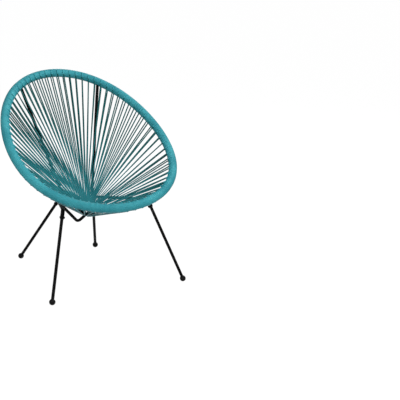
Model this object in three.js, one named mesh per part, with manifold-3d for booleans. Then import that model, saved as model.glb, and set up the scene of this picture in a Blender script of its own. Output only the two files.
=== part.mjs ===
// Acapulco chair: an egg shaped steel hoop that leans back, wound with cord all the way round.
// Pairs of the same cord run from the hoop down to a small ring and make the seat.
// Two back struts, two bent side rails and a V brace carry the hoop on four bolt-on tube legs.
// Millimetres, +Z up, the chair faces -Y. The origin is on the floor, below the middle of the hoop.
// Left is -X, as seen by someone who stands in front of the chair.

import * as THREE from 'three';
import { mergeVertices } from 'three/addons/utils/BufferGeometryUtils.js';
import Module from 'manifold-3d';

const wasm = await Module();
wasm.setup();

// Gap that pieces keep where they touch
const fitGap = 0.3;

// Hoop: half sizes in its own plane, before the egg shape, and how that plane lies
const hoopHalfWidth = 348.7;
const hoopHalfLength = 382.6;
const hoopCentreHeight = 570.1;
const hoopLean = THREE.MathUtils.degToRad(35);
const hoopTubeDiameter = 23;
// How much wider the front half is than the back half, and how square the shoulders are
const eggShare = -0.108;
const shoulderShare = 0.036;

// Cord, its winding on the hoop and the pairs that make the seat
const cordDiameter = 4.5;
const cordPairCount = 72;
const pairSpacing = 9;
// How flat a cord is pressed where it starts inside the winding, and how deep it lies there
const buriedShare = 0.4;
const cordBurial = 0.8;
const ribCountPerPair = 1;
const ribDepth = 0.9;
const pairCountPerFan = 6;

// Bottom ring: where it hangs from the middle of the hoop, along the slope and square to it
const ringForward = 177.5;
const ringDrop = 249.5;
const ringDiameter = 52;
const ringWireDiameter = 8;

// Welded frame under the seat
const frameTubeDiameter = 13;
const frameTubeWall = 1.2;
const strutTurn = THREE.MathUtils.degToRad(33.7);
const strutSetback = 4;
const railTurn = THREE.MathUtils.degToRad(139.5);
const railBendHeight = 330;
// How far below the top of the rear leg's line a side rail ends
const railEndDrop = 33;
const railBendRadius = 40;
const braceVertexHeight = 191.5;
const braceVertexSetback = 82.5;
const braceBendRadius = 13;
// Where along the straight run of a side rail the brace is welded, counted from its bend
const braceSeatShare = 0.758;

// Legs: foot centres, and where the lines of the legs end at the top
const frontFootHalfTrack = 290.5;
const frontFootForward = 297.7;
const frontLegTop = { halfTrack: 185.7, forward: 169.3, height: 335 };
const rearFootHalfTrack = 178.9;
const rearFootSetback = 270;
const rearLegTop = { halfTrack: 69, setback: 85.5, height: 319 };
const legTubeDiameter = 12.7;
const legTubeWall = 1.2;

// Leg sockets, tubes with a closed top that the legs slide into
const socketDiameter = 16;
const socketCap = 3;
const frontSocketLength = 38;
const rearSocketLength = 70;
const rearSocketHeadroom = 8;
const legPlayAtTop = 2;

// Cross bolts with low round heads, and the low hexagon nuts opposite
const boltDiameter = 5;
const boltHeadDiameter = 8;
const boltHeadHeight = 2;
const nutAcross = 8;
const nutHeight = 2.2;
const boltEndStandOut = 0.6;
const boltFromSocketMouth = 7;

// Ball feet with a blind hole for the leg and a small flat to stand on
const footDiameter = 25;
const footFlatDepth = 0.6;
const footHoleFloor = 3;

// Facets
const tubeSides = 12;
const hoopSides = 8;
const loopSteps = 3;
const hoopSteps = 40;
const bendSteps = 5;
const footSides = 12;
const footSteps = 7;
const ringSteps = 24;

const hoopTubeRadius = hoopTubeDiameter / 2;
const hoopBoreRadius = hoopTubeRadius + fitGap;
const windingRadius = hoopBoreRadius + cordDiameter;
const ringRadius = ringDiameter / 2;
const ringWireRadius = ringWireDiameter / 2;
// A cord's loop clears the wire of the ring also in the middle of each straight step
const cordLoopRadius = (ringWireRadius + fitGap) / Math.cos(Math.PI / 2 / loopSteps);
const frameTubeRadius = frameTubeDiameter / 2;
const legRadius = legTubeDiameter / 2;
const footRadius = footDiameter / 2;
const footCentreHeight = footRadius - footFlatDepth;
const fullTurn = Math.PI * 2;
// Overrun of cutting solids past what they cut
const cutOverrun = hoopHalfLength;
// How far along its tube a hole in the winding is cut
const holeShare = 0.5;

const cordMaterial = new THREE.MeshStandardMaterial({ color: 0x3f9dab, roughness: 0.45, metalness: 0 });
const steelMaterial = new THREE.MeshStandardMaterial({ color: 0x17181a, roughness: 0.5, metalness: 0.2 });
const plasticMaterial = new THREE.MeshStandardMaterial({ color: 0x101113, roughness: 0.55, metalness: 0 });
const boltMaterial = new THREE.MeshStandardMaterial({ color: 0x2b2c2f, roughness: 0.35, metalness: 0.8 });

const chair = new THREE.Group();

function addMesh(name, geometry, material) {
  const mesh = new THREE.Mesh(geometry, material);
  mesh.name = name;
  chair.add(mesh);
}

// Boolean solids from closed geometries, and back

function solidOf(geometry) {
  const bare = geometry.clone();
  bare.deleteAttribute('normal');
  bare.deleteAttribute('uv');
  const merged = mergeVertices(bare);
  const vertProperties = Float32Array.from(merged.attributes.position.array);
  const triVerts = Uint32Array.from(merged.index.array);
  return new wasm.Manifold(new wasm.Mesh({ numProp: 3, vertProperties, triVerts }));
}

function geometryOf(solid) {
  const mesh = solid.getMesh();
  const geometry = new THREE.BufferGeometry();
  geometry.setAttribute('position', new THREE.BufferAttribute(mesh.vertProperties, 3));
  geometry.setIndex(new THREE.BufferAttribute(mesh.triVerts, 1));
  geometry.computeVertexNormals();
  return geometry;
}

// Straight bars and tubes between two points, with one facet square to a hint direction

function polygonShape(radius, sides) {
  const shape = new THREE.Shape();
  for (let i = 0; i < sides; i += 1) {
    const angle = ((i + 0.5) / sides) * fullTurn;
    shape[i ? 'lineTo' : 'moveTo'](radius * Math.cos(angle), radius * Math.sin(angle));
  }
  shape.closePath();
  return shape;
}

function ringShape(radius, bore, sides) {
  const shape = polygonShape(radius, sides);
  if (bore) {
    shape.holes.push(polygonShape(bore, sides));
  }
  return shape;
}

function frameAlong(from, to, hint) {
  const axis = to.clone().sub(from).normalize();
  const across = hint.clone().addScaledVector(axis, -hint.dot(axis)).normalize();
  const third = axis.clone().cross(across);
  return new THREE.Matrix4().makeBasis(across, third, axis).setPosition(from);
}

function straightBar(from, to, hint, shape) {
  const depth = from.distanceTo(to);
  const geometry = new THREE.ExtrudeGeometry(shape, { depth, bevelEnabled: false });
  return geometry.applyMatrix4(frameAlong(from, to, hint));
}

// Bent tubes: a path that is sampled only at its own stations, so a straight run is one facet long

class StationPath extends THREE.Curve {
  constructor(stations) {
    super();
    this.stations = stations;
  }

  getSpacedPoints() {
    return this.stations;
  }

  getTangentAt(share) {
    const last = this.stations.length - 1;
    const at = Math.round(share * last);
    const before = this.stations[Math.max(at - 1, 0)];
    const after = this.stations[Math.min(at + 1, last)];
    return after.clone().sub(before).normalize();
  }
}

function bendStations(start, corner, end, radius) {
  const back = start.clone().sub(corner).normalize();
  const ahead = end.clone().sub(corner).normalize();
  const halfAngle = back.angleTo(ahead) / 2;
  const bisector = back.clone().add(ahead).normalize();
  const centre = corner.clone().addScaledVector(bisector, radius / Math.sin(halfAngle));
  const first = corner.clone().addScaledVector(back, radius / Math.tan(halfAngle)).sub(centre);
  const turnAxis = back.clone().cross(first).normalize();
  const stations = [start];
  for (let i = 0; i <= bendSteps; i += 1) {
    const turn = ((Math.PI - 2 * halfAngle) * i) / bendSteps;
    stations.push(first.clone().applyAxisAngle(turnAxis, turn).add(centre));
  }
  stations.push(end);
  return stations;
}

function bentTube(stations, radius, bore) {
  return new THREE.ExtrudeGeometry(ringShape(radius, bore, tubeSides), {
    steps: stations.length - 1,
    extrudePath: new StationPath(stations),
  });
}

// Hoop: u runs to the right, v up the slope and w square to the hoop, on the sitter's side

const slopeAxis = new THREE.Vector3(0, Math.cos(hoopLean), Math.sin(hoopLean));
const squareAxis = new THREE.Vector3(0, -Math.sin(hoopLean), Math.cos(hoopLean));
const sideAxis = new THREE.Vector3(1, 0, 0);
const hoopCentre = new THREE.Vector3(0, 0, hoopCentreHeight);
const ringCentre = hoopCentre.clone()
  .addScaledVector(slopeAxis, -ringForward)
  .addScaledVector(squareAxis, -ringDrop);

function hoopPoint(turn) {
  const egg = 1 + eggShare * Math.cos(turn) + shoulderShare * Math.cos(2 * turn);
  return hoopCentre.clone()
    .addScaledVector(sideAxis, hoopHalfWidth * Math.sin(turn) * egg)
    .addScaledVector(slopeAxis, hoopHalfLength * Math.cos(turn));
}

function hoopTangent(turn) {
  const step = fullTurn / (cordPairCount * 100);
  return hoopPoint(turn + step).sub(hoopPoint(turn - step)).normalize();
}

// Direction from the axis of the ring to a point, in the plane of the hoop
function awayFromRing(point) {
  const across = point.clone().sub(ringCentre);
  return across.addScaledVector(squareAxis, -across.dot(squareAxis)).normalize();
}

// Square to the hoop's tube and to the cord that leaves it there, on the sitter's side
function seatSide(turn) {
  const point = hoopPoint(turn);
  const ringPoint = ringCentre.clone().addScaledVector(awayFromRing(point), ringRadius);
  const cord = ringPoint.sub(point).normalize();
  return cord.cross(hoopTangent(turn)).normalize();
}

// Closed skins from rings of points, capped at the ends or joined into a loop

function skinOf(rings, isLoop) {
  const around = rings[0].length;
  const index = [];
  const joins = isLoop ? rings.length : rings.length - 1;
  for (let i = 0; i < joins; i += 1) {
    const here = i * around;
    const next = ((i + 1) % rings.length) * around;
    for (let k = 0; k < around; k += 1) {
      const side = (k + 1) % around;
      index.push(here + k, here + side, next + k);
      index.push(here + side, next + side, next + k);
    }
  }
  const last = (rings.length - 1) * around;
  for (let k = 1; !isLoop && k < around - 1; k += 1) {
    index.push(0, k + 1, k);
    index.push(last, last + k, last + k + 1);
  }
  const geometry = new THREE.BufferGeometry().setFromPoints(rings.flat());
  geometry.setIndex(index);
  return geometry;
}

function hoopLoop(ringCount, radiusAt) {
  const rings = [];
  for (let i = 0; i < ringCount; i += 1) {
    const turn = (i / ringCount) * fullTurn;
    const facing = seatSide(turn);
    const tangent = hoopTangent(turn);
    const ring = [];
    for (let k = 0; k < hoopSides; k += 1) {
      const spoke = facing.clone().applyAxisAngle(tangent, ((k + 0.5) / hoopSides) * fullTurn);
      ring.push(hoopPoint(turn).addScaledVector(spoke, radiusAt(i)));
    }
    rings.push(ring);
  }
  return skinOf(rings, true);
}

const ribRingCount = cordPairCount * ribCountPerPair * 2;
const windingSolid = solidOf(hoopLoop(ribRingCount, (i) => windingRadius - (i % 2 ? 0 : ribDepth)));
const hoopBoreSolid = solidOf(hoopLoop(hoopSteps, () => hoopBoreRadius));
const hoopTubeGeometry = hoopLoop(hoopSteps, () => hoopTubeRadius);

function bottomRing() {
  const torus = new THREE.TorusGeometry(ringRadius, ringWireRadius, hoopSides, ringSteps);
  const basis = new THREE.Matrix4().makeBasis(sideAxis, slopeAxis, squareAxis);
  return torus.applyMatrix4(basis.setPosition(ringCentre));
}

// Seat cords. One cord makes a pair: it leaves the winding on the sitter's side, runs down to the
// ring, passes over it, round its inside and back below it, and runs up to the back of the winding.
// Beside its neighbours on the ring it is squeezed to the width that its share of the ring leaves.

// Three corners: a flat side towards the tube that the cord lies on, and a ridge away from it
function cordSection(centre, across, outward, width, height) {
  const corner = (x, y) => centre.clone()
    .addScaledVector(across, (x * width) / 2)
    .addScaledVector(outward, (y * height) / 2);
  return [corner(0, 1), corner(1, -1), corner(-1, -1)];
}

// The end of a cord, buried in the winding on the sitter's side (1) or on the back (-1)
function cordEnd(turn, onRing, side) {
  const uphill = hoopPoint(turn).sub(onRing).normalize();
  const across = seatSide(turn).cross(uphill).normalize();
  const outward = seatSide(turn).multiplyScalar(side);
  const depth = hoopBoreRadius + cordBurial + (cordDiameter * buriedShare) / 2;
  const centre = hoopPoint(turn).addScaledVector(outward, depth);
  return cordSection(centre, across, outward, cordDiameter, cordDiameter * buriedShare);
}

// The back run leaves at the given turn and the front run a little before it, all the way round,
// so the tubes of the frame pass between the back runs alike on both sides
function cordPair(backTurn, pairTurn) {
  const stretch = hoopPoint(backTurn + pairTurn / 2).distanceTo(hoopPoint(backTurn - pairTurn / 2));
  const spread = (pairSpacing / stretch) * pairTurn;
  const turn = backTurn - spread / 2;
  const away = awayFromRing(hoopPoint(turn));
  const across = squareAxis.clone().cross(away);
  const slot = Math.min(
    away.angleTo(awayFromRing(hoopPoint(turn + pairTurn))),
    away.angleTo(awayFromRing(hoopPoint(turn - pairTurn))),
  );
  const onRing = ringCentre.clone().addScaledVector(away, ringRadius);
  const uphill = hoopPoint(turn).sub(onRing).normalize();
  const top = uphill.clone().cross(across).normalize();
  const sections = [cordEnd(backTurn - spread, onRing, 1)];
  for (let i = 0; i <= loopSteps; i += 1) {
    const outward = top.clone().applyAxisAngle(across, -(Math.PI * i) / loopSteps);
    const centre = onRing.clone().addScaledVector(outward, cordLoopRadius + cordDiameter / 2);
    const reach = onRing.clone().addScaledVector(outward, cordLoopRadius).sub(ringCentre).dot(away);
    const width = Math.min(cordDiameter, slot * reach - fitGap);
    sections.push(cordSection(centre, across, outward, width, cordDiameter));
  }
  sections.push(cordEnd(backTurn, onRing, -1));
  return skinOf(sections, false);
}

// Tubes of the frame that pass through the winding on their way to the hoop

function mirrored(point, side) {
  return new THREE.Vector3(point.x * side, point.y, point.z);
}

function frameLines(side) {
  const rearTop = new THREE.Vector3(rearLegTop.halfTrack, rearLegTop.setback, rearLegTop.height);
  const rearFoot = new THREE.Vector3(rearFootHalfTrack, rearFootSetback, footCentreHeight);
  const frontTop = new THREE.Vector3(frontLegTop.halfTrack, -frontLegTop.forward, frontLegTop.height);
  const frontFoot = new THREE.Vector3(frontFootHalfTrack, -frontFootForward, footCentreHeight);
  const strutEnd = rearTop.clone().add(new THREE.Vector3(0, strutSetback, 0));
  const railCorner = pointAtHeight(frontFoot, frontTop, railBendHeight);
  const railEnd = pointAtHeight(rearFoot, rearTop, rearLegTop.height - railEndDrop);
  const braceSeat = railCorner.clone().lerp(railEnd, braceSeatShare);
  const lines = {
    rearTop, rearFoot, frontTop, frontFoot, strutEnd, railCorner, railEnd, braceSeat,
    strutStart: hoopPoint(strutTurn),
    railStart: hoopPoint(railTurn),
  };
  for (const name of Object.keys(lines)) {
    lines[name] = mirrored(lines[name], side);
  }
  return lines;
}

function pointAtHeight(low, high, height) {
  return low.clone().lerp(high, (height - low.z) / (high.z - low.z));
}

const sides = { left: frameLines(-1), right: frameLines(1) };

function strutTube(lines, radius, bore) {
  return straightBar(lines.strutStart, lines.strutEnd, sideAxis, ringShape(radius, bore, tubeSides));
}

function railTube(lines, radius, bore) {
  const stations = bendStations(lines.railStart, lines.railCorner, lines.railEnd, railBendRadius);
  return bentTube(stations, radius, bore);
}

// The winding leaves a hole round each tube, with few facets that stand clear of the round tube
const tubeHoles = [];
function tubeHole(start, end) {
  const shape = polygonShape((frameTubeRadius + fitGap) / Math.cos(Math.PI / hoopSides), hoopSides);
  return solidOf(straightBar(start, start.clone().lerp(end, holeShare), sideAxis, shape));
}
for (const lines of Object.values(sides)) {
  tubeHoles.push(tubeHole(lines.strutStart, lines.strutEnd));
  tubeHoles.push(tubeHole(lines.railStart, lines.railCorner));
}

// A fan is a run of neighbouring pairs with its stretch of winding on the hoop and on the ring.
// The planes between fans pass through the axis of the ring and leave one gap there.

function fanWedge(firstTurn, lastTurn) {
  const edges = [awayFromRing(hoopPoint(firstTurn)), awayFromRing(hoopPoint(lastTurn))];
  const flat = edges.map((edge) => new THREE.Vector2(edge.dot(sideAxis), edge.dot(slopeAxis)));
  const middle = flat[0].clone().add(flat[1]).normalize();
  const halfAngle = Math.acos(middle.dot(flat[0]));
  const tip = middle.clone().multiplyScalar(fitGap / 2 / Math.sin(halfAngle));
  const reach = hoopHalfLength * 2;
  const corners = [tip, ...flat.map((edge) => tip.clone().addScaledVector(edge, reach))];
  const depth = ringDrop + 2 * cutOverrun;
  const wedge = new THREE.ExtrudeGeometry(new THREE.Shape(corners), { depth, bevelEnabled: false });
  const basis = new THREE.Matrix4().makeBasis(sideAxis, slopeAxis, squareAxis);
  const base = ringCentre.clone().addScaledVector(squareAxis, -cutOverrun);
  return solidOf(wedge.applyMatrix4(basis.setPosition(base)));
}

function fanOfCords(fan) {
  const pairTurn = fullTurn / cordPairCount;
  const first = fan * pairCountPerFan * pairTurn;
  let cords = windingSolid.intersect(fanWedge(first, first + pairCountPerFan * pairTurn));
  cords = cords.subtract(hoopBoreSolid);
  for (const hole of tubeHoles) {
    cords = cords.subtract(hole);
  }
  for (let pair = 0; pair < pairCountPerFan; pair += 1) {
    cords = cords.add(solidOf(cordPair(first + (pair + 0.5) * pairTurn, pairTurn)));
  }
  return cords;
}

const fanCount = cordPairCount / pairCountPerFan;
for (let fan = 0; fan < fanCount; fan += 1) {
  const onRight = fan < fanCount / 2;
  const place = onRight ? fan + 1 : fanCount - fan;
  addMesh(`seat_cords_${onRight ? 'right' : 'left'}_${place}`, geometryOf(fanOfCords(fan)), cordMaterial);
}

addMesh('hoop_tube', hoopTubeGeometry, steelMaterial);
addMesh('bottom_ring', bottomRing(), steelMaterial);

// Sockets, legs, bolts, nuts and feet, each built along the line of its leg

function socketCup(length) {
  const bore = legRadius + fitGap;
  const outer = socketDiameter / 2;
  const profile = [
    [0, length], [outer, length], [outer, 0], [bore, 0], [bore, length - socketCap], [0, length - socketCap],
  ];
  return latheUp(profile, tubeSides);
}

// Turned shapes stand up along +Z, with a facet towards +X
function latheUp(profile, segments) {
  const points = profile.map(([radius, height]) => new THREE.Vector2(radius, height));
  const lathe = new THREE.LatheGeometry(points.reverse(), segments, Math.PI / segments);
  return lathe.rotateX(Math.PI / 2);
}

function footBall() {
  const bore = legRadius + fitGap;
  const mouth = Math.asin(bore / footRadius);
  const profile = [];
  for (let i = 0; i <= footSteps; i += 1) {
    const angle = Math.PI - ((Math.PI - mouth) * i) / footSteps;
    profile.push([i ? footRadius * Math.sin(angle) : 0, footRadius * Math.cos(angle)]);
  }
  profile.push([bore, footHoleFloor - footRadius / 2], [0, footHoleFloor - footRadius / 2]);
  return latheUp(profile.reverse(), footSides);
}

function boltShape() {
  const head = boltHeadDiameter / 2;
  const shank = boltDiameter / 2;
  const under = socketDiameter / 2 + fitGap;
  const end = under + fitGap + nutHeight + boltEndStandOut;
  const profile = [
    [0, under + boltHeadHeight], [head * Math.SQRT1_2, under + boltHeadHeight * 0.85],
    [head, under + boltHeadHeight / 4], [head, under], [shank, under], [shank, -end], [0, -end],
  ];
  return latheUp(profile, tubeSides);
}

const floorCut = solidOf(
  new THREE.BoxGeometry(cutOverrun * 4, cutOverrun * 4, cutOverrun).translate(0, 0, -cutOverrun / 2),
);

function legSet(name, side, foot, top, socketTop, socketLength, weldedTo) {
  const axis = top.clone().sub(foot).normalize();
  const along = frameAlong(foot, top, sideAxis.clone().multiplyScalar(side));
  const mouth = socketTop - socketLength;
  const boltAt = foot.clone().addScaledVector(axis, mouth + boltFromSocketMouth);
  const boltAxis = new THREE.Vector3().setFromMatrixColumn(along, 0);
  const boltFrame = frameAlong(boltAt, boltAt.clone().add(boltAxis), axis);
  const holeReach = boltAxis.clone().multiplyScalar(socketDiameter);
  const hole = solidOf(straightBar(
    boltAt.clone().sub(holeReach), boltAt.clone().add(holeReach), axis,
    polygonShape(boltDiameter / 2 + fitGap, tubeSides),
  ));
  let socket = solidOf(socketCup(socketLength).translate(0, 0, mouth).applyMatrix4(along)).subtract(hole);
  for (const tube of weldedTo) {
    socket = socket.subtract(tube);
  }
  addMesh(`${name}_socket`, geometryOf(socket), steelMaterial);
  const legStart = footHoleFloor - footRadius / 2 + fitGap;
  const legEnd = socketTop - socketCap - legPlayAtTop;
  const leg = straightBar(
    foot.clone().addScaledVector(axis, legStart), foot.clone().addScaledVector(axis, legEnd),
    boltAxis, ringShape(legRadius, legRadius - legTubeWall, tubeSides),
  );
  addMesh(`${name}_leg`, geometryOf(solidOf(leg).subtract(hole)), steelMaterial);
  addMesh(`${name}_bolt`, geometryOf(solidOf(boltShape().applyMatrix4(boltFrame))), boltMaterial);
  const nutFrom = boltAt.clone().addScaledVector(boltAxis, -(socketDiameter / 2 + fitGap));
  const nutTo = nutFrom.clone().addScaledVector(boltAxis, -nutHeight);
  const nutRadius = nutAcross / 2 / Math.cos(Math.PI / 6);
  const nutShape = polygonShape(nutRadius, 6);
  nutShape.holes.push(polygonShape(boltDiameter / 2 + fitGap, tubeSides));
  addMesh(`${name}_nut`, geometryOf(solidOf(straightBar(nutFrom, nutTo, axis, nutShape))), boltMaterial);
  const ball = solidOf(footBall().applyMatrix4(along)).subtract(floorCut);
  addMesh(`${name}_foot`, geometryOf(ball), plasticMaterial);
}

// Frame tubes, each cut back to what it is welded to

const socketBars = {};
for (const [sideName, lines] of Object.entries(sides)) {
  const headroom = rearSocketHeadroom;
  const axis = lines.rearTop.clone().sub(lines.rearFoot).normalize();
  const top = lines.rearTop.clone().addScaledVector(axis, headroom + fitGap);
  const mouth = top.clone().addScaledVector(axis, -rearSocketLength - fitGap * 2);
  const hint = sideAxis.clone().multiplyScalar(Math.sign(lines.rearTop.x));
  const shape = polygonShape(socketDiameter / 2 + fitGap, tubeSides);
  socketBars[sideName] = solidOf(straightBar(mouth, top, hint, shape));
}

for (const [sideName, lines] of Object.entries(sides)) {
  const bore = frameTubeRadius - frameTubeWall;
  const strut = solidOf(strutTube(lines, frameTubeRadius, bore));
  const strutCut = strut.subtract(hoopBoreSolid).subtract(socketBars[sideName]);
  addMesh(`${sideName}_back_strut`, geometryOf(strutCut), steelMaterial);
  const rail = solidOf(railTube(lines, frameTubeRadius, bore));
  const railCut = rail.subtract(hoopBoreSolid).subtract(socketBars[sideName]);
  addMesh(`${sideName}_side_rail`, geometryOf(railCut), steelMaterial);
  const sign = Math.sign(lines.rearTop.x);
  const railSpace = solidOf(railTube(lines, frameTubeRadius + fitGap, 0));
  const rearTopAt = lines.rearTop.distanceTo(lines.rearFoot) + rearSocketHeadroom;
  const frontTopAt = lines.railCorner.distanceTo(lines.frontFoot);
  const { frontFoot, frontTop, rearFoot, rearTop } = lines;
  legSet(`${sideName}_front`, sign, frontFoot, frontTop, frontTopAt, frontSocketLength, [railSpace]);
  legSet(`${sideName}_rear`, sign, rearFoot, rearTop, rearTopAt, rearSocketLength, []);
}

const braceVertex = new THREE.Vector3(0, braceVertexSetback, braceVertexHeight);
const braceEnds = [sides.left.braceSeat, sides.right.braceSeat];
const braceStations = bendStations(braceEnds[0], braceVertex, braceEnds[1], braceBendRadius);
let brace = solidOf(bentTube(braceStations, frameTubeRadius, frameTubeRadius - frameTubeWall));
for (const lines of Object.values(sides)) {
  brace = brace.subtract(solidOf(railTube(lines, frameTubeRadius + fitGap, 0)));
}
addMesh('v_brace', geometryOf(brace), steelMaterial);

export default chair;
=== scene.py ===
# %% [markdown]
# An acapulco chair in Blender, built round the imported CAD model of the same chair. It is a patio
# chair: one long plastic cord is wound round an egg shaped steel hoop and drawn down to a small ring
# as the seat, and four thin legs carry it. The CAD model fixes where everything is: lengths are
# metres, +Z is up and the chair faces -Y. Its tubes, sockets, bolts and ball feet are already the
# right shape, so they stay and only get better finishes. The cord is a stiff stand-in there, so it
# is laid again here, turn by turn.

# %% Load the frame
import math
import random

import bmesh
import bpy
from mathutils import Matrix, Vector


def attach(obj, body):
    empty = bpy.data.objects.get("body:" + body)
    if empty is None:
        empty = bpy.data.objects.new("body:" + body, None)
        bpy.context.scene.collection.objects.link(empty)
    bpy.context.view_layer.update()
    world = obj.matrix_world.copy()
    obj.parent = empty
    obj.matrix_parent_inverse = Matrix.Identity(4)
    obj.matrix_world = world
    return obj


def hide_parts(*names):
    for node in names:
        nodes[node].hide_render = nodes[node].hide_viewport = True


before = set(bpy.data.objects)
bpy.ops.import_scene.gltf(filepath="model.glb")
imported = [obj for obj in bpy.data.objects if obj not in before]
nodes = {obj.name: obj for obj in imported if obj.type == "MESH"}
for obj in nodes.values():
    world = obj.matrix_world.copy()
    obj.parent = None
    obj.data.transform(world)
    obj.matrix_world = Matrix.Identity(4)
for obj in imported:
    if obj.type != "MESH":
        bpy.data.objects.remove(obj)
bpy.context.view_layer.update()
MM = 0.001
print("loaded", len(nodes), "nodes")

# %% [markdown]
# The camera comes first, because every later choice is judged through it. Its place, aim and lens
# were found by fitting the outline of the hoop and the four ball feet to a picture 400 pixels wide.
# It could track the chair, but then the chair would stand in the middle of the picture. It looks
# past the chair instead, so its aim is written as three angles: the heading is counted from +Y
# towards +X, and a tilt below the horizon is negative. The lens is long, so there is little
# perspective.

# %% Camera
CAMERA_AT = Vector((-1.6582, -3.3141, 1.2851))
CAMERA_HEADING = math.radians(33.795)
CAMERA_TILT = math.radians(-14.65)
CAMERA_ROLL = math.radians(2.201)
LENS = 83.22
SENSOR_WIDTH = 36
VIEW_DISTANCE = 120


def make_camera():
    data = bpy.data.cameras.new("camera")
    data.lens = LENS
    data.sensor_width = SENSOR_WIDTH
    data.clip_end = VIEW_DISTANCE
    heading = Matrix.Rotation(-CAMERA_HEADING, 4, "Z")
    tilt = Matrix.Rotation(math.pi / 2 + CAMERA_TILT, 4, "X")
    roll = Matrix.Rotation(CAMERA_ROLL, 4, "Z")
    camera = bpy.data.objects.new("camera", data)
    camera.matrix_world = Matrix.Translation(CAMERA_AT) @ heading @ tilt @ roll
    bpy.context.collection.objects.link(camera)
    bpy.context.scene.camera = camera


make_camera()
bpy.context.scene.view_settings.view_transform = "Standard"
print("camera lens", LENS, "mm")

# %% [markdown]
# A studio photograph has a white background. A bright sky would give one, but it would also light
# every side of the chair alike and make the cords look flat. So the sky is weak, and it is white
# only for what looks at it, directly or in a reflection. The Light Path node tells these rays apart.

# %% World
SKY_COLOUR = (0.94, 0.97, 1, 1)
SKY_STRENGTH = 0.08


def seen_directly(tree):
    path = tree.nodes.new("ShaderNodeLightPath")
    total = path.outputs["Is Camera Ray"]
    for name in ("Is Glossy Ray", "Is Transmission Ray"):
        add = tree.nodes.new("ShaderNodeMath")
        add.operation = "MAXIMUM"
        tree.links.new(total, add.inputs[0])
        tree.links.new(path.outputs[name], add.inputs[1])
        total = add.outputs[0]
    return total


def make_world():
    world = bpy.data.worlds.new("studio")
    world.use_nodes = True
    tree = world.node_tree
    tree.nodes.clear()
    light = tree.nodes.new("ShaderNodeBackground")
    light.inputs["Color"].default_value = SKY_COLOUR
    light.inputs["Strength"].default_value = SKY_STRENGTH
    white = tree.nodes.new("ShaderNodeBackground")
    white.inputs["Color"].default_value = (1, 1, 1, 1)
    mix = tree.nodes.new("ShaderNodeMixShader")
    out = tree.nodes.new("ShaderNodeOutputWorld")
    tree.links.new(seen_directly(tree), mix.inputs[0])
    tree.links.new(light.outputs[0], mix.inputs[1])
    tree.links.new(white.outputs[0], mix.inputs[2])
    tree.links.new(mix.outputs[0], out.inputs["Surface"])
    bpy.context.scene.world = world


make_world()
print("sky strength", SKY_STRENGTH)

# %% [markdown]
# Three soft lamps light the chair. The key lamp stands near the camera, which leaves the edges of
# the rim and the undersides darker. A wide lamp above on the right gives the rim its upper light,
# and a weak one keeps the back of the chair readable. A sun would need fewer values, but its shadows
# are as sharp near the chair as far from it.

# %% Lamps
LAMP_AIM = Vector((0, 0, 0.45))


def make_lamp(name, at, size, power):
    data = bpy.data.lights.new(name, "AREA")
    data.shape = "DISK"
    data.size = size
    data.energy = power
    lamp = bpy.data.objects.new(name, data)
    lamp.location = at
    lamp.rotation_euler = (LAMP_AIM - Vector(at)).to_track_quat("-Z", "Y").to_euler()
    bpy.context.collection.objects.link(lamp)
    print(name, "of", power, "W")


make_lamp("key_lamp", at=(-1.3, -3.2, 1.8), size=0.6, power=120)
make_lamp("top_lamp", at=(1.4, -0.6, 3.0), size=1.4, power=80)
make_lamp("back_lamp", at=(1.2, 3.4, 1.9), size=2.0, power=40)

# %% [markdown]
# The floor is one large flat square. It reaches past the top edge of the picture, so no backdrop is
# needed. What looks straight at it sees a glow that is almost white, with a small share of the
# lamps' light on top, which keeps the chair's shadow. A floor brighter than white would eat into the
# edges of the thin cords and legs. For bounced light the floor is a plain mid grey.

# %% Floor
FLOOR_HALF = 40
FLOOR_GREY = 0.45
FLOOR_ROUGHNESS = 0.9
FLOOR_GLOW = 0.99
FLOOR_SHADE = 0.06


def floor_material():
    material = bpy.data.materials.new("floor")
    material.use_nodes = True
    tree = material.node_tree
    plain = tree.nodes["Principled BSDF"]
    plain.inputs["Base Color"].default_value = (FLOOR_GREY, FLOOR_GREY, FLOOR_GREY, 1)
    plain.inputs["Roughness"].default_value = FLOOR_ROUGHNESS
    glow = tree.nodes.new("ShaderNodeEmission")
    glow.inputs["Strength"].default_value = FLOOR_GLOW
    shade = tree.nodes.new("ShaderNodeBsdfDiffuse")
    shade.inputs["Color"].default_value = (FLOOR_SHADE, FLOOR_SHADE, FLOOR_SHADE, 1)
    both = tree.nodes.new("ShaderNodeAddShader")
    mix = tree.nodes.new("ShaderNodeMixShader")
    tree.links.new(shade.outputs[0], both.inputs[0])
    tree.links.new(glow.outputs[0], both.inputs[1])
    tree.links.new(seen_directly(tree), mix.inputs[0])
    tree.links.new(plain.outputs[0], mix.inputs[1])
    tree.links.new(both.outputs[0], mix.inputs[2])
    tree.links.new(mix.outputs[0], tree.nodes["Material Output"].inputs["Surface"])
    return material


def make_floor():
    bm = bmesh.new()
    bmesh.ops.create_grid(bm, x_segments=1, y_segments=1, size=FLOOR_HALF)
    mesh = bpy.data.meshes.new("floor")
    bm.to_mesh(mesh)
    bm.free()
    mesh.materials.append(floor_material())
    floor = bpy.data.objects.new("floor", mesh)
    bpy.context.collection.objects.link(floor)


make_floor()
print("floor of", 2 * FLOOR_HALF, "m")

# %% [markdown]
# PVC cord, powder coat, rubber and zinc all have a fine texture that breaks up their shine, and
# slow changes of colour. Each material could have its own noise nodes, but one node group with named
# inputs keeps them alike: a finish only says how coarse and how strong its grain is. The group puts
# out a fine value, a broad one and a normal.

# %% Grain, a shared node group
GRAIN_DETAIL = 3
GRAIN_WARP = 1
BUMP_HEIGHT = 0.6 * MM
BROAD_SCALE = 14
BROAD_DETAIL = 2


def group_sockets(group, direction, kinds):
    for name, kind in kinds.items():
        group.interface.new_socket(name, in_out=direction, socket_type=kind)


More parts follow.
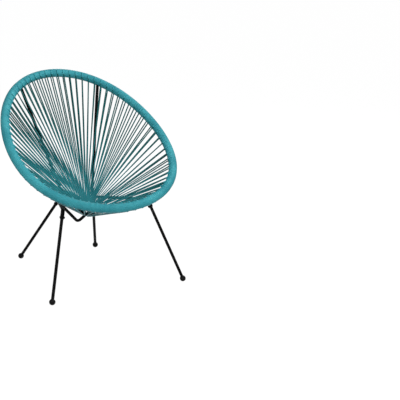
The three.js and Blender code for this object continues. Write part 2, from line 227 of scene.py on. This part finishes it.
def grain_group():
    group = bpy.data.node_groups.new("grain", "ShaderNodeTree")
    number, vector = "NodeSocketFloat", "NodeSocketVector"
    group_sockets(group, "INPUT", {"Scale": number, "Height": number})
    group_sockets(group, "OUTPUT", {"Value": number, "Broad": number, "Normal": vector})
    given = group.nodes.new("NodeGroupInput")
    out = group.nodes.new("NodeGroupOutput")
    place = group.nodes.new("ShaderNodeTexCoord")
    fine = group.nodes.new("ShaderNodeTexNoise")
    fine.inputs["Detail"].default_value = GRAIN_DETAIL
    fine.inputs["Distortion"].default_value = GRAIN_WARP
    broad = group.nodes.new("ShaderNodeTexNoise")
    broad.inputs["Scale"].default_value = BROAD_SCALE
    broad.inputs["Detail"].default_value = BROAD_DETAIL
    bump = group.nodes.new("ShaderNodeBump")
    bump.inputs["Distance"].default_value = BUMP_HEIGHT
    link = group.links.new
    link(place.outputs["Object"], fine.inputs["Vector"])
    link(place.outputs["Object"], broad.inputs["Vector"])
    link(given.outputs["Scale"], fine.inputs["Scale"])
    link(given.outputs["Height"], bump.inputs["Strength"])
    link(fine.outputs["Fac"], bump.inputs["Height"])
    link(fine.outputs["Fac"], out.inputs["Value"])
    link(broad.outputs["Fac"], out.inputs["Broad"])
    link(bump.outputs["Normal"], out.inputs["Normal"])
    return group


GRAIN = grain_group()
print("node group", GRAIN.name)

# %% [markdown]
# The chair's materials differ in numbers only, so one function builds them all. The colour wanders
# between a dark and a light value with the broad grain, and the roughness between two values with
# the fine one, because no real surface is one flat colour. Painting image textures would give more
# control, but they would have to be made and mapped for every piece.

# %% How a finish is built
RAMP_START = 0.35
RAMP_END = 0.65


def finish(name, dark, light, rough, grain_scale, grain_height, specular, metallic=0):
    material = bpy.data.materials.new(name)
    material.use_nodes = True
    tree = material.node_tree
    shader = tree.nodes["Principled BSDF"]
    shader.inputs["Metallic"].default_value = metallic
    shader.inputs["Specular IOR Level"].default_value = specular
    grain = tree.nodes.new("ShaderNodeGroup")
    grain.node_tree = GRAIN
    grain.inputs["Scale"].default_value = grain_scale
    grain.inputs["Height"].default_value = grain_height
    ramp = tree.nodes.new("ShaderNodeValToRGB")
    for stop, at, colour in zip(ramp.color_ramp.elements, (RAMP_START, RAMP_END), (dark, light)):
        stop.position = at
        stop.color = (*colour, 1)
    span = tree.nodes.new("ShaderNodeMapRange")
    span.inputs["To Min"].default_value, span.inputs["To Max"].default_value = rough
    link = tree.links.new
    link(grain.outputs["Broad"], ramp.inputs["Fac"])
    link(grain.outputs["Value"], span.inputs["Value"])
    link(ramp.outputs["Color"], shader.inputs["Base Color"])
    link(span.outputs["Result"], shader.inputs["Roughness"])
    link(grain.outputs["Normal"], shader.inputs["Normal"])
    print("finish", name)
    return material


print("a colour ramp runs from", RAMP_START, "to", RAMP_END)

# %% [markdown]
# The chair has four of them: teal PVC cord, black powder coat on the tubes, blackened bolts, and
# rubber feet. All are lightly glossy, but their highlights are held low, because the picture shows
# the cord in one even teal and the tubes and feet in a deep black. Only the bolts are metal.

# %% The four finishes
CORD_PVC = finish(
    "cord_pvc",
    dark=(0.024, 0.21, 0.25),
    light=(0.043, 0.285, 0.325),
    rough=(0.4, 0.55),
    grain_scale=500,
    grain_height=0.05,
    specular=0.15,
)
POWDER_COAT = finish(
    "powder_coat",
    dark=(0.0012, 0.0012, 0.0013),
    light=(0.0022, 0.0022, 0.0024),
    rough=(0.2, 0.35),
    grain_scale=1500,
    grain_height=0.1,
    specular=0.04,
)
BLACK_ZINC = finish(
    "black_zinc",
    dark=(0.006, 0.006, 0.007),
    light=(0.014, 0.014, 0.015),
    rough=(0.3, 0.45),
    grain_scale=900,
    grain_height=0.08,
    specular=0.2,
    metallic=0.7,
)
FOOT_RUBBER = finish(
    "foot_rubber",
    dark=(0.0015, 0.0015, 0.0016),
    light=(0.0026, 0.0026, 0.0028),
    rough=(0.3, 0.45),
    grain_scale=800,
    grain_height=0.1,
    specular=0.07,
)

# %% [markdown]
# The tubes, sockets, bolts, nuts and feet keep their CAD shapes, because they are hard parts that
# are right already. Modelling them again would only risk moving them. Each gets its finish by the
# last word of its name, and everything else is powder coated.

# %% Finishes on the frame
FINISH_BY_ENDING = {"_bolt": BLACK_ZINC, "_nut": BLACK_ZINC, "_foot": FOOT_RUBBER}


def frame_finish(name):
    for ending, material in FINISH_BY_ENDING.items():
        if name.endswith(ending):
            return material
    return POWDER_COAT


frame_names = [name for name in nodes if not name.startswith("seat_cords")]
for name in frame_names:
    nodes[name].data.materials.clear()
    nodes[name].data.materials.append(frame_finish(name))
print("finished", len(frame_names), "pieces of the frame")

# %% [markdown]
# The hoop is a steel tube bent to an egg, in a plane that leans back. The cords need its line and
# not its surface, so the line is a formula: an ellipse, made wider at the front and a little squarer
# at its shoulders. Reading points off the CAD mesh would tie the cords to its facets. The turn
# starts at the top of the back and goes round by the right. These are the CAD source's own sizes.

# %% The hoop's line
HOOP_HALF_WIDTH = 348.7 * MM
HOOP_HALF_LENGTH = 382.6 * MM
HOOP_CENTRE = Vector((0, 0, 570.1 * MM))
HOOP_LEAN = math.radians(35)
EGG_SHARE = -0.108
SHOULDER_SHARE = 0.036
SIDE_AXIS = Vector((1, 0, 0))
SLOPE_AXIS = Vector((0, math.cos(HOOP_LEAN), math.sin(HOOP_LEAN)))
SQUARE_AXIS = Vector((0, -math.sin(HOOP_LEAN), math.cos(HOOP_LEAN)))
TANGENT_STEP = 0.001


def hoop_point(turn):
    egg = 1 + EGG_SHARE * math.cos(turn) + SHOULDER_SHARE * math.cos(2 * turn)
    across = HOOP_HALF_WIDTH * math.sin(turn) * egg
    return HOOP_CENTRE + across * SIDE_AXIS + HOOP_HALF_LENGTH * math.cos(turn) * SLOPE_AXIS


def hoop_tangent(turn):
    return (hoop_point(turn + TANGENT_STEP) - hoop_point(turn - TANGENT_STEP)).normalized()


print("hoop", round(2 * HOOP_HALF_LENGTH / MM), "mm long")

# %% [markdown]
# Every cord runs from the hoop to a small ring that hangs below the hoop's plane, towards the front.
# seat_side gives the direction square to the hoop and to a cord that leaves it, on the sitter's
# side. The hoop's plane would give one direction for all of them, but the cords come off the egg at
# a changing slant, so it is worked out for each place on the hoop.

# %% The ring and the sitter's side
RING_FORWARD = 177.5 * MM
RING_DROP = 249.5 * MM
RING_RADIUS = 26 * MM
RING_WIRE_RADIUS = 4 * MM
RING_CENTRE = HOOP_CENTRE - RING_FORWARD * SLOPE_AXIS - RING_DROP * SQUARE_AXIS


def away_from_ring(point):
    across = point - RING_CENTRE
    return (across - across.dot(SQUARE_AXIS) * SQUARE_AXIS).normalized()


def seat_side(turn):
    point = hoop_point(turn)
    ring_point = RING_CENTRE + RING_RADIUS * away_from_ring(point)
    return (ring_point - point).cross(hoop_tangent(turn)).normalized()


print("ring", round(RING_CENTRE.z / MM), "mm above the floor")

# %% [markdown]
# In the picture, cords that lie close together show the rim's teal, but single cords against white
# look dark, most of all at the top and on the right. The cord is one teal throughout, so that
# darkness is shade. One finish for all of them would make the open part of the seat too pale. So
# the runs get a copy of the cord's finish with painted shade: it turns to a dark teal with the
# distance from a place at the front left. It uses Object coordinates, so it is the same in any view.

# %% Painted shade on the runs
LIGHTEST_AT = Vector((-0.1, -0.1, 0.32))
STILL_LIGHT = 0.17
FULLY_DARK = 0.42
# Painted shade: the dark teal that the runs turn to away from the front left
PAINTED_SHADE_TEAL = (0.0005, 0.066, 0.067)
LEAST_PAINTED_SHADE_SHARE = 0.42
STRAND_SPECULAR = 0.14


def painted_shade_strand_finish():
    material = CORD_PVC.copy()
    material.name = "strand_pvc_painted_shade"
    tree = material.node_tree
    shader = tree.nodes["Principled BSDF"]
    shader.inputs["Specular IOR Level"].default_value = STRAND_SPECULAR
    paint = shader.inputs["Base Color"].links[0].from_socket
    place = tree.nodes.new("ShaderNodeTexCoord")
    reach = tree.nodes.new("ShaderNodeVectorMath")
    reach.operation = "DISTANCE"
    reach.inputs[1].default_value = LIGHTEST_AT
    share = tree.nodes.new("ShaderNodeMapRange")
    share.inputs["From Min"].default_value = STILL_LIGHT
    share.inputs["From Max"].default_value = FULLY_DARK
    share.inputs["To Min"].default_value = LEAST_PAINTED_SHADE_SHARE
    # Painted shade: the cord's colour is mixed towards the dark teal as the distance grows
    mix = tree.nodes.new("ShaderNodeMix")
    mix.data_type = "RGBA"
    mix.inputs["B"].default_value = (*PAINTED_SHADE_TEAL, 1)
    link = tree.links.new
    link(place.outputs["Object"], reach.inputs[0])
    link(reach.outputs["Value"], share.inputs["Value"])
    link(share.outputs["Result"], mix.inputs["Factor"])
    link(paint, mix.inputs["A"])
    link(mix.outputs["Result"], shader.inputs["Base Color"])
    return material


STRAND_PVC_PAINTED_SHADE = painted_shade_strand_finish()
print("finish", STRAND_PVC_PAINTED_SHADE.name)

# %% [markdown]
# One long cord makes the whole seat. On the rim it is wound round the hoop, turn against turn. A
# ribbed tube would look like that from afar, but a real helix also has the right shadows and ends.
# It is a line of points, seven turns to each pair of runs. It stands a little off the tube, because
# the rim in the picture is that much thicker than the tube and one layer of cord.

# %% The winding on the rim
HOOP_TUBE_RADIUS = 11.5 * MM
CORD_DIAMETER = 4.5 * MM
CORD_RADIUS = CORD_DIAMETER / 2
WINDING_LIFT = 1.6 * MM
WINDING_RADIUS = HOOP_TUBE_RADIUS + WINDING_LIFT + CORD_RADIUS
PAIR_COUNT = 72
PAIR_TURN = 2 * math.pi / PAIR_COUNT
TURNS_PER_PAIR = 7
POINTS_PER_TURN = 14


def winding_point(turn, lift):
    """A point on the winding: turn says where along the hoop, lift the angle round its tube."""
    outward = Matrix.Rotation(lift, 3, hoop_tangent(turn)) @ seat_side(turn)
    return hoop_point(turn) + WINDING_RADIUS * outward


def winding_path(first_turn, last_turn):
    count = round((last_turn - first_turn) / PAIR_TURN * TURNS_PER_PAIR * POINTS_PER_TURN)
    path = []
    for i in range(count + 1):
        turn = first_turn + (last_turn - first_turn) * i / count
        path.append(winding_point(turn, turn / PAIR_TURN * TURNS_PER_PAIR * 2 * math.pi))
    return path


print("winding of", PAIR_COUNT * TURNS_PER_PAIR, "turns")

# %% [markdown]
# A run comes up out of the winding, lies on it for a short way and then goes straight to the ring.
# One run of a pair leaves on the sitter's side, the other one on the back of the hoop. A run that
# began with its straight part would look stuck on. So two short tables say how it rises: at an angle
# round the tube in degrees, a height in cord diameters.

# %% Where a run leaves the rim
FRONT_RISE = ((-34, 0.0), (-24, 0.4), (-14, 0.65), (-6, 0.75), (0, 0.75))
BACK_RISE = ((2, 0.0), (11, 0.4), (19, 0.65), (27, 0.75), (30, 0.75))
# The side is a sign, because the back of the hoop lies opposite the sitter's side
FRONT = 1
BACK = -1


def run_start(turn, side):
    tangent = hoop_tangent(turn)
    points = []
    for lift, rise in FRONT_RISE if side == FRONT else BACK_RISE:
        outward = Matrix.Rotation(math.radians(lift) * side, 3, tangent) @ (seat_side(turn) * side)
        points.append(hoop_point(turn) + (WINDING_RADIUS + rise * CORD_DIAMETER) * outward)
    return points


print("a run rises in", len(FRONT_RISE), "steps")

# %% [markdown]
# At the ring each pair loops round the wire. There is no room for 72 cords side by side, so every
# second pair lies in an outer layer, in the groove between two cords beneath it. A run is drawn thin
# there and gets fuller towards the rim, because the picture shows gaps between the cords almost down
# to the ring. Each point of a curve can have its own width, so no second curve is needed.

# %% The loop round the ring
FIT_GAP = 0.3 * MM
LOOP_POINTS = 9
RING_WIDTH_SHARE = 0.62
RIM_WIDTH_SHARE = 1.17
FULL_WIDTH_FROM_RING = 300 * MM
GROOVE_SHARE = 0.86
GROOVE_STEP = CORD_DIAMETER * RING_WIDTH_SHARE * GROOVE_SHARE


def width_share(point):
    reach = min(1, (point - RING_CENTRE).length / FULL_WIDTH_FROM_RING)
    return RING_WIDTH_SHARE + (RIM_WIDTH_SHARE - RING_WIDTH_SHARE) * reach


def ring_loop(turn, layer):
    away = away_from_ring(hoop_point(turn))
    across = SQUARE_AXIS.cross(away)
    on_ring = RING_CENTRE + RING_RADIUS * away
    uphill = (hoop_point(turn) - on_ring).normalized()
    top = uphill.cross(across).normalized()
    reach = RING_WIRE_RADIUS + FIT_GAP + CORD_RADIUS * RING_WIDTH_SHARE + layer * GROOVE_STEP
    loop = []
    for i in range(LOOP_POINTS):
        outward = Matrix.Rotation(-math.pi * i / (LOOP_POINTS - 1), 3, across) @ top
        loop.append(on_ring + reach * outward)
    return loop


print("second layer", round(GROOVE_STEP / MM, 1), "mm further out")

# %% [markdown]
# A pair is one stretch of cord: out of the winding on the front, down to the ring, round its wire
# and up again to the back. One curve would be enough for that, but the first bit at each end lies
# over the winding and has its colour, so it is drawn in three pieces. Cords laid by hand are never
# quite even, so each pair's place on the ring slips a little, by a random number from a fixed seed.

# %% One pair of runs
PAIR_SPACING = 9 * MM
OVER_RIM = 12 * MM
SLIP_SHARE = 0.03
SLIP_SEED = 5
# Points close to both ends of a straight run keep the cord round along it
RUN_SHARES = (0.012, 0.35, 0.7, 0.988)
chance = random.Random(SLIP_SEED)


def between(start, end):
    return [start.lerp(end, share) for share in RUN_SHARES]


def add_over_rim(points, towards):
    points.append(points[-1] + OVER_RIM * (towards - points[-1]).normalized())


def pair_paths(back_turn, layer):
    stretch = (hoop_point(back_turn + PAIR_TURN / 2) - hoop_point(back_turn - PAIR_TURN / 2)).length
    spread = PAIR_SPACING / stretch * PAIR_TURN
    slip = chance.uniform(-SLIP_SHARE, SLIP_SHARE) * PAIR_TURN
    loop = ring_loop(back_turn - spread / 2 + slip, layer)
    front = run_start(back_turn - spread, FRONT)
    back = run_start(back_turn, BACK)
    add_over_rim(front, loop[0])
    add_over_rim(back, loop[-1])
    down, up = between(front[-1], loop[0]), between(loop[-1], back[-1])
    return front, [front[-1], *down, *loop, *up, back[-1]], back


print("runs of a pair stand", round(PAIR_SPACING / MM), "mm apart on the rim")

# %% [markdown]
# A cord is best made as a curve with a round bevel: the curve is its middle line, so the cord keeps
# its thickness wherever it turns. A tube of mesh would need its rings turned by hand. The bevel has
# few sides and is a touch wider than the cord, so that neighbouring turns meet.

# %% A fan of cord
BEVEL_STEPS = 2
BEVEL_SHARE = 1.02
BEVEL_RADIUS = CORD_RADIUS * BEVEL_SHARE
WINDING_SLOT = 0
# Runs take the second material, the cord's finish with painted shade
RUN_SLOT = 1


def empty_cord(name):
    data = bpy.data.curves.new(name, "CURVE")
    data.dimensions = "3D"
    data.bevel_depth = BEVEL_RADIUS
    data.bevel_resolution = BEVEL_STEPS
    data.use_fill_caps = True
    data.materials.append(CORD_PVC)
    data.materials.append(STRAND_PVC_PAINTED_SHADE)
    cord = bpy.data.objects.new(name, data)
    bpy.context.collection.objects.link(cord)
    return cord


def add_spline(cord, path, material_slot, tapers=True):
    spline = cord.data.splines.new("POLY")
    spline.material_index = material_slot
    spline.points.add(len(path) - 1)
    for point, at in zip(spline.points, path):
        point.co = (*at, 1)
        point.radius = width_share(at) if tapers else 1


def lay_fan(name, first_turn, pair_count):
    cord = empty_cord(name)
    winding = winding_path(first_turn, first_turn + pair_count * PAIR_TURN)
    add_spline(cord, winding, WINDING_SLOT, tapers=False)
    for pair in range(pair_count):
        front, run, back = pair_paths(first_turn + (pair + 0.5) * PAIR_TURN, pair % 2)
        add_spline(cord, front, WINDING_SLOT)
        add_spline(cord, run, RUN_SLOT)
        add_spline(cord, back, WINDING_SLOT)
    return cord


print("bevel", round(2 * BEVEL_RADIUS / MM, 2), "mm across")

# %% [markdown]
# The cord is laid in twelve fans of six pairs: six fans on the right and six on the left, counted
# from the top. One object for the whole seat would be simpler, but the CAD model has twelve nodes
# for the cord, and each fan replaces the one with the same side and number. Every second pair of a
# fan takes the outer layer on the ring.

# %% Lay the cord
PAIRS_PER_FAN = 6
FAN_COUNT = PAIR_COUNT // PAIRS_PER_FAN

for fan in range(FAN_COUNT):
    side = "right" if fan < FAN_COUNT // 2 else "left"
    place = fan + 1 if side == "right" else FAN_COUNT - fan
    cord = lay_fan(f"wound_cords_{side}_{place}", fan * PAIRS_PER_FAN * PAIR_TURN, PAIRS_PER_FAN)
    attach(cord, "root")
    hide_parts(f"seat_cords_{side}_{place}")
print("laid", FAN_COUNT, "fans of cord")
